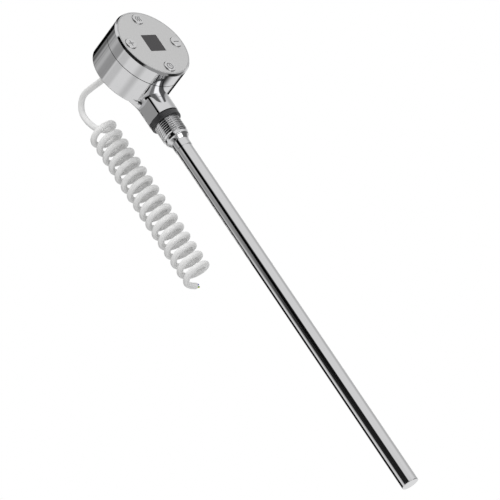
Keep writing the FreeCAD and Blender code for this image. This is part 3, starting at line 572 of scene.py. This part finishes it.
board, tree, shader = start_material("green_circuit_board", {"IOR": 1.55, "Roughness": 0.32})
place = add_node(tree, "ShaderNodeTexCoord").outputs["Object"]
upright = add_node(tree, "ShaderNodeMapping", values={"Rotation": (math.radians(90), 0, 0)},
                   links={"Vector": place})
tracks = add_node(tree, "ShaderNodeTexBrick",
                  values={"Color1": colour("#0f5a2c"), "Color2": colour("#12652f"),
                          "Mortar": colour("#3c8f4e"), "Scale": 1.0, "Mortar Size": mm(TRACK_GAP),
                          "Brick Width": mm(2 * GRID), "Row Height": mm(GRID)},
                  links={"Vector": upright.outputs[0]})
bump = add_node(tree, "ShaderNodeBump", values={"Strength": 0.4, "Distance": mm(TRACK_HEIGHT)},
                links={"Height": tracks.outputs["Fac"]})
feed(shader, {"Base Color": tracks.outputs["Color"], "Normal": bump.outputs[0]})
print(board.name)

# %% [markdown]
# The heating winding is a resistance wire, wound about 0.9 mm apart along the rod. Bands of a wave texture
# make its turns. Each band is the wire's grey on its crest, darkened into the groove between turns as painted
# shade.
# At scale 1 that texture has 20 / (2 pi) bands in each metre.

# %% Heating winding
WINDING_PITCH = 0.9
TURN_HEIGHT = 0.3

winding, tree, shader = start_material("wound_resistance_wire", {"Metallic": 1.0, "Roughness": 0.42})
place = add_node(tree, "ShaderNodeTexCoord").outputs["Object"]
turns = add_node(tree, "ShaderNodeTexWave", {"bands_direction": "Z"},
                 {"Scale": 2 * math.pi / (20 * mm(WINDING_PITCH)), "Distortion": 0.0}, {"Vector": place})
# Painted shade: the same bands darken the wire's colour in the grooves between turns, where the bump is low.
tint = add_node(tree, "ShaderNodeMix", {"data_type": "RGBA"},
                {6: colour("#3b3734"), 7: colour("#8d867f")}, {0: turns.outputs["Fac"]})
bump = add_node(tree, "ShaderNodeBump", values={"Strength": 0.8, "Distance": mm(TURN_HEIGHT)},
                links={"Height": turns.outputs["Fac"]})
feed(shader, {"Base Color": tint.outputs[2], "Normal": bump.outputs[0]})
print(winding.name)

# %% [markdown]
# A CAD node whose shape is right only needs its finish. Each list below goes to the node's own mesh.

# %% Finishes on the CAD nodes
COATS = [
    (chrome, ["end_cap", "threaded_nipple", "element_sleeve", "rear_housing", "front_ring"]),
    (tube_chrome, ["sheath_tube"]),
    (satin, ["face_plate"]),
    (button_metal, ["button_heat", "button_plus", "button_minus", "button_timer"]),
    (smoked, ["display_window"]),
    (finishes["rubber"], ["sealing_gasket", "seam_gasket"]),
    (finishes["relief_pvc"], ["cord_gland", "inner_cord"]),
    (finishes["grey_nylon"], ["gland_nut"]),
    (finishes["brass"], ["threaded_bush"]),
    (board, ["control_board", "power_board"]),
    (finishes["black_abs"], ["display_module", "tact_switches", "supply_module", "fuse_holder", "capacitor"]),
    (finishes["relay_case"], ["relay"]),
    (finishes["terminal_pa"], ["terminal_block"]),
    (finishes["white_pbt"], ["board_connectors", "ribbon_cable"]),
    (finishes["zinc_steel"], ["head_screws", "power_pins", "sensor_capsule"]),
    (winding, ["heating_winding"]),
    (finishes["magnesia"], ["ceramic_core", "insulation_powder", "cold_zone_plug"]),
    (finishes["resin"], ["potting_plug"]),
    (finishes["silicone"], ["element_leads"]),
]
for material, names in COATS:
    for name in names:
        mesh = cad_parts[name].data
        mesh.materials.clear()
        mesh.materials.append(material)
print("nodes with a finish", sum(len(names) for material, names in COATS))

# %% [markdown]
# Thin raised lines, wires and cores are all beads: a small ring swept along a few places. A row of rings is
# made with `create_circle`, each neighbour pair is joined with `bridge_loops`, and rings that shrink at the
# two ends round the bead off. A flat bead has a smaller height than width.

# %% Beads
RING_SIDES = 10
# How far out along the rounded end, and how wide the ring is there, both as shares of the half width.
END_STEPS = [(0.0, 0.08), (0.12, 0.5), (0.45, 0.87)]


def bead(made, places, normal, half_width, half_height, closed=False):
    """Sweep a flattened ring along places. The normal is the direction in which the bead is flattened."""
    places = [Vector(place) for place in places]
    stations = [(place, 1.0) for place in places]
    if not closed:
        first = (places[1] - places[0]).normalized() * half_width
        last = (places[-1] - places[-2]).normalized() * half_width
        start = [(places[0] - first * (1 - out), size) for out, size in END_STEPS]
        end = [(places[-1] + last * (1 - out), size) for out, size in reversed(END_STEPS)]
        stations = start + stations + end
    rings = []
    count = len(stations)
    for index, (place, size) in enumerate(stations):
        before = stations[index - 1][0] if index or closed else place
        after = stations[(index + 1) % count][0] if index < count - 1 or closed else place
        along = (after - before).normalized()
        side = along.cross(normal).normalized()
        axes = Matrix((side * half_width * size, side.cross(along) * half_height * size, along)).transposed()
        ring = bmesh.ops.create_circle(made, segments=RING_SIDES, radius=1.0,
                                       matrix=Matrix.Translation(place) @ axes.to_4x4())
        rings.append(edges_at(ring["verts"]))
    pairs = list(zip(rings, rings[1:]))
    if closed:
        pairs.append((rings[-1], rings[0]))
    for one, other in pairs:
        bmesh.ops.bridge_loops(made, edges=one + other)
    if not closed:
        bmesh.ops.contextual_create(made, geom=rings[0])
        bmesh.ops.contextual_create(made, geom=rings[-1])


# %% [markdown]
# The four buttons carry plain signs: waves for heat, plus, minus, and a clock for the timer. On the real
# head they are dark lines about 0.6 mm wide, and here each is a flat bead that stands 0.1 mm proud of its
# button and moves with it. The signs are drawn in points across and up from the button's middle.

# %% Lines of the signs
HEAD_CENTRE_Z = 53.4
BUTTON_RING = 24.3
WAVE_SWING = 0.5
WAVE_LENGTH = 4.6
WAVE_STEPS = 12
WAVE_STEP_DEGREES = 40
WAVE_PLACES = (-1.9, 0.0, 1.9)
CLOCK_RADIUS = 2.7
CLOCK_STEP_DEGREES = 12

wave = [(WAVE_SWING * math.sin(math.radians(WAVE_STEP_DEGREES * k)), WAVE_LENGTH * (k / WAVE_STEPS - 0.5))
        for k in range(WAVE_STEPS + 1)]
clock_face = [(CLOCK_RADIUS * math.cos(math.radians(a)), CLOCK_RADIUS * math.sin(math.radians(a)))
              for a in range(0, 360, CLOCK_STEP_DEGREES)]
SIGNS = {
    # each button's middle, from the middle of the head, and the lines of its sign
    "button_heat": ((0, BUTTON_RING), [[(x + shift, z) for x, z in wave] for shift in WAVE_PLACES]),
    "button_plus": ((-BUTTON_RING, 0), [[(-2.5, 0), (2.5, 0)], [(0, -2.5), (0, 2.5)]]),
    "button_minus": ((BUTTON_RING, 0), [[(-2.6, 0), (2.6, 0)]]),
    "button_timer": ((0, -BUTTON_RING), [[(0, 1.7), (0, 0), (1.2, -0.5)]]),
}
print("signs", len(SIGNS))

# %% Signs on the buttons
SIGN_HALF_WIDTH = 0.32
SIGN_PROUD = 0.1
TOWARDS_VIEWER = Vector((0, -1, 0))
button_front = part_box("button_plus")[0][1] * 1000


def draw_line(sign, middle, line, closed=False):
    """A flat bead along a line of a sign, on the front of the button with this middle."""
    places = [mm(middle[0] + x, button_front, HEAD_CENTRE_Z + middle[1] + z) for x, z in line]
    bead(sign, places, TOWARDS_VIEWER, mm(SIGN_HALF_WIDTH), mm(SIGN_PROUD), closed)


for button, (middle, drawing) in SIGNS.items():
    sign = bmesh.new()
    for line in drawing:
        draw_line(sign, middle, line)
    if button == "button_timer":
        draw_line(sign, middle, clock_face, closed=True)
    piece = finish_piece(sign, button.replace("button", "sign"), finishes["lacquer"],
                         button.replace("button", "key"), smooth_below=50)

# %% [markdown]
# The front ring catches the eye with its chamfer, a crisp cone that shows the dark cards as one even band.
# It is one profile spun about the head's middle, with the plate's seat inside and a fine broken edge at the
# seam.

# %% Front ring with its chamfer
RING_STEPS = 240
RING_PROFILE = [
    # radius and y: the lip beside the plate, then the chamfer between its two softened edges
    (30.9, -32.3), (31.75, -32.3), (31.87, -32.22), (32.84, -30.52), (32.9, -30.34),
    # the outer wall and the broken edge at the seam
    (32.9, -19.32), (32.78, -19.2), (30.9, -19.2),
    # the inner wall with the ledge on which the plate sits
    (30.9, -28.8), (30.1, -28.8), (30.1, -30.3), (30.9, -30.3),
]
ring = bmesh.new()
spin_profile(ring, [mm(radius, y, HEAD_CENTRE_Z) for radius, y in RING_PROFILE], mm(0, 0, HEAD_CENTRE_Z),
             (0, 1, 0), RING_STEPS)
piece = finish_piece(ring, "chamfered_front_ring", chrome, "heater", smooth_below=15)
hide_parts("front_ring")

# %% [markdown]
# The pipe thread is a 55 degree V with rounded crests and roots, whose depth and rounding are fixed shares
# of its pitch. One pitch of its outline goes up from the middle of a root to a crest and down again as a
# mirror image. A rounding turns through 90 degrees less half of the 55.

# %% Outline of one pitch
PITCH = 25.4 / 14
THREAD_RADIUS = 20.955 / 2
THREAD_DEPTH = 0.640327 * PITCH
THREAD_ROUND = 0.137329 * PITCH
ROUNDING_DEGREES = (0, 31, 62.5)


def round_step(degrees):
    """How far a rounding has run along the axis, and away from its end, after this much of its arc."""
    turn = math.radians(degrees)
    return THREAD_ROUND * math.sin(turn), THREAD_ROUND * (1 - math.cos(turn))


rising = []
for degrees in ROUNDING_DEGREES:
    along, away = round_step(degrees)
    rising.append((along - PITCH / 2, THREAD_RADIUS - THREAD_DEPTH + away))
for degrees in reversed(ROUNDING_DEGREES):
    along, away = round_step(degrees)
    rising.append((-along, THREAD_RADIUS - away))
one_pitch = rising + [(-along, radius) for along, radius in reversed(rising[:-1])]
print("pitch", round(PITCH, 3), "mm with", len(one_pitch), "points")

# %% [markdown]
# `spin` turns that outline about the rod and climbs a little with each step, so ten turns make one surface
# whose faces follow the helix. Two planes cut it to length, and each cut is closed to a plain core.

# %% Thread
THREAD_BOTTOM = -13.0
THREAD_TOP = 0.3
THREAD_CORE = 8.85
THREAD_TURNS = 10
STEPS_PER_TURN = 72
# Where one turn meets the next, points this close become one, and a cut takes in points this close to it.
TURN_WELD = 1e-5
CUT_REACH = 1e-7

nipple = bmesh.new()
row = [nipple.verts.new(mm(radius, 0, THREAD_BOTTOM - PITCH + along)) for along, radius in one_pitch]
row_edges = [nipple.edges.new(pair) for pair in zip(row, row[1:])]
bmesh.ops.spin(nipple, geom=row + row_edges, cent=(0, 0, 0), axis=(0, 0, 1),
               dvec=(0, 0, mm(PITCH / STEPS_PER_TURN)), angle=2 * math.pi * THREAD_TURNS,
               steps=THREAD_TURNS * STEPS_PER_TURN, use_merge=False, use_duplicate=False)
bmesh.ops.remove_doubles(nipple, verts=nipple.verts, dist=TURN_WELD)
for level, outwards in ((THREAD_BOTTOM, -1), (THREAD_TOP, 1)):
    everything = nipple.verts[:] + nipple.edges[:] + nipple.faces[:]
    bmesh.ops.bisect_plane(nipple, geom=everything, dist=CUT_REACH, plane_co=mm(0, 0, level),
                           plane_no=(0, 0, outwards), clear_outer=True)
core_rims = []
for level in (THREAD_BOTTOM, THREAD_TOP):
    cut = [edge for edge in nipple.edges
           if edge.is_boundary and all(abs(vert.co.z - mm(level)) < WELD for vert in edge.verts)]
    circle = bmesh.ops.create_circle(nipple, segments=STEPS_PER_TURN, radius=mm(THREAD_CORE),
                                     matrix=Matrix.Translation(mm(0, 0, level)))
    rim = edges_at(circle["verts"])
    bmesh.ops.bridge_loops(nipple, edges=cut + rim)
    core_rims += rim
bmesh.ops.bridge_loops(nipple, edges=core_rims)
print("thread", len(nipple.faces), "faces")

# %% [markdown]
# The rest of the nipple is a profile of its own, spun without climbing: the nose, the end ring, the core
# inside the thread, and the hidden spigot that screws into the bush in the collar.

# %% Threaded nipple
NIPPLE_STEPS = 96
NIPPLE_PROFILE = [
    # radius and z: the mouth that holds the sleeve, and the conical nose
    (7.16, -19.4), (7.45, -19.4), (7.6, -19.25), (8.7, -16.75),
    # the plain end ring with its rounded shoulder
    (9.05, -16.5), (9.4, -16.25), (9.63, -15.9), (9.7, -15.5), (9.7, -13.85), (9.55, -13.7),
    # the undercut below the thread, and the core inside it
    (9.1, -13.7), (9.1, -12.95), (8.9, -12.95), (8.9, 0.1),
    # the plain stretch inside the gasket, and the spigot
    (10.4, 0.1), (10.4, 5.0), (7.8, 5.0), (7.8, 18.5),
    # the bore, which is wider where the sleeve sits
    (6.68, 18.5), (6.68, -10.4), (7.16, -10.4),
]
spin_profile(nipple, [mm(radius, 0, z) for radius, z in NIPPLE_PROFILE], (0, 0, 0), (0, 0, 1), NIPPLE_STEPS)
piece = finish_piece(nipple, "pipe_threaded_nipple", chrome, "heater", smooth_below=36)
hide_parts("threaded_nipple")

# %% [markdown]
# Where the lead leaves the head, a moulded relief keeps it from kinking: a round flange on the back of the
# head, then a tapering nose with grooves that let it bend. It is one profile, spun about the cord.

# %% Strain relief
RELIEF_STEPS = 64
FLANGE = [(2.55, -1.1), (4.1, -1.1), (4.1, 3.9), (5.7, 3.9), (6.0, 4.2), (6.0, 5.4), (5.6, 5.9), (4.75, 5.9)]
NOSE_TIP = [(3.38, 20.4), (3.3, 20.7), (3.05, 20.9), (2.55, 20.9)]
NOSE_RADIUS = 4.7
NOSE_TAPER = 1.3
NOSE_START = 6.4
RIBS = 7
RIB_PITCH = 2.0
RIB_GAP = 0.75
RIB_DEPTH = 0.5
RIB_DRAFT = 0.04
GROOVE_SLOPE = 0.12
gland_x, nose_end, gland_axis_z = GLAND_TIP

ribs = []
for rib in range(RIBS):
    y = NOSE_START + rib * RIB_PITCH
    outer = NOSE_RADIUS - NOSE_TAPER * (y - NOSE_START) / (nose_end - NOSE_START)
    groove = y + RIB_PITCH - RIB_GAP
    ribs += [(outer, y), (outer - RIB_DRAFT, groove), (outer - RIB_DEPTH, groove + GROOVE_SLOPE),
             (outer - RIB_DEPTH - RIB_DRAFT, y + RIB_PITCH - GROOVE_SLOPE)]
places = [mm(gland_x + radius, y, gland_axis_z) for radius, y in FLANGE + ribs + NOSE_TIP]
gland = bmesh.new()
spin_profile(gland, places, mm(gland_x, 0, gland_axis_z), (0, 1, 0), RELIEF_STEPS)
piece = finish_piece(gland, "strain_relief", finishes["relief_pvc"], "heater", smooth_below=35)
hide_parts("cord_gland")

# %% [markdown]
# The lead ends cut, as it comes for wiring into a box: three insulated cores, blue, green with yellow, and
# brown, each with a short end of stranded copper.

# %% Cores at the cut end
CORES = [
    # CAD node, slot, finish, and the finish of its stripes
    ("core_neutral", "core_blue", "blue_pvc", None),
    ("core_earth", "core_green_yellow", "yellow_pvc", "green_pvc"),
    ("core_live", "core_brown", "brown_pvc", None),
]
CORE_RADIUS = 0.85
CORE_RING = 1.15
CORE_LENGTH = 2.2
CORE_SUNK = 1.0
CORE_ROUNDED = 0.25
FIRST_CORE_DEGREES = 40.0
upwards = (Vector((0, 0, 1)) - cord_heading * cord_heading.z).normalized()
sideways = cord_heading.cross(upwards)


def around(angle, radius):
    """A step away from the cord's axis, in the plane of its cut end."""
    return (upwards * math.cos(angle) + sideways * math.sin(angle)) * mm(radius)


core_middles = []
stops = [-CORE_SUNK, 0.0, CORE_LENGTH / 2, CORE_LENGTH - CORE_ROUNDED]
for index, (node, slot, finish, stripe) in enumerate(CORES):
    middle = cord_end + around(math.radians(FIRST_CORE_DEGREES + index * 360 / len(CORES)), CORE_RING)
    core_middles.append(middle)
    core = bmesh.new()
    places = [middle + cord_heading * mm(stop) for stop in stops]
    bead(core, places, upwards, mm(CORE_RADIUS), mm(CORE_RADIUS))
    if stripe:
        for face in core.faces:
            out = face.calc_center_median() - middle
            face.material_index = 1 if abs(out.dot(sideways)) > abs(out.dot(upwards)) else 0
    piece = finish_piece(core, node.replace("core", "insulated"), finishes[finish], "heater", smooth_below=60)
    if stripe:
        piece.data.materials.append(finishes[stripe])
    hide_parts(node)

# %% [markdown]
# Each core has seven wires, one in the middle and six about it, and the six twist about the middle one. They
# start inside the rounded end of the insulation.

# %% Copper strands
WIRES_PER_CORE = 7
WIRE_RADIUS = 0.14
WIRE_RING = 0.29
WIRE_START = 2.0
WIRE_LENGTH = 0.9
WIRE_STEPS = 6
WIRE_TWIST_DEGREES = 14

strands = bmesh.new()
for middle in core_middles:
    for wire in range(WIRES_PER_CORE):
        radius = WIRE_RING if wire else 0.0
        places = []
        for step in range(WIRE_STEPS):
            turn = math.radians(360 / (WIRES_PER_CORE - 1) * wire + WIRE_TWIST_DEGREES * step)
            along = WIRE_START + WIRE_LENGTH * step / (WIRE_STEPS - 1)
            places.append(middle + around(turn, radius) + cord_heading * mm(along))
        bead(strands, places, upwards, mm(WIRE_RADIUS), mm(WIRE_RADIUS))
piece = finish_piece(strands, "copper_strands", finishes["copper"], "heater", smooth_below=60)
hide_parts("core_strands")
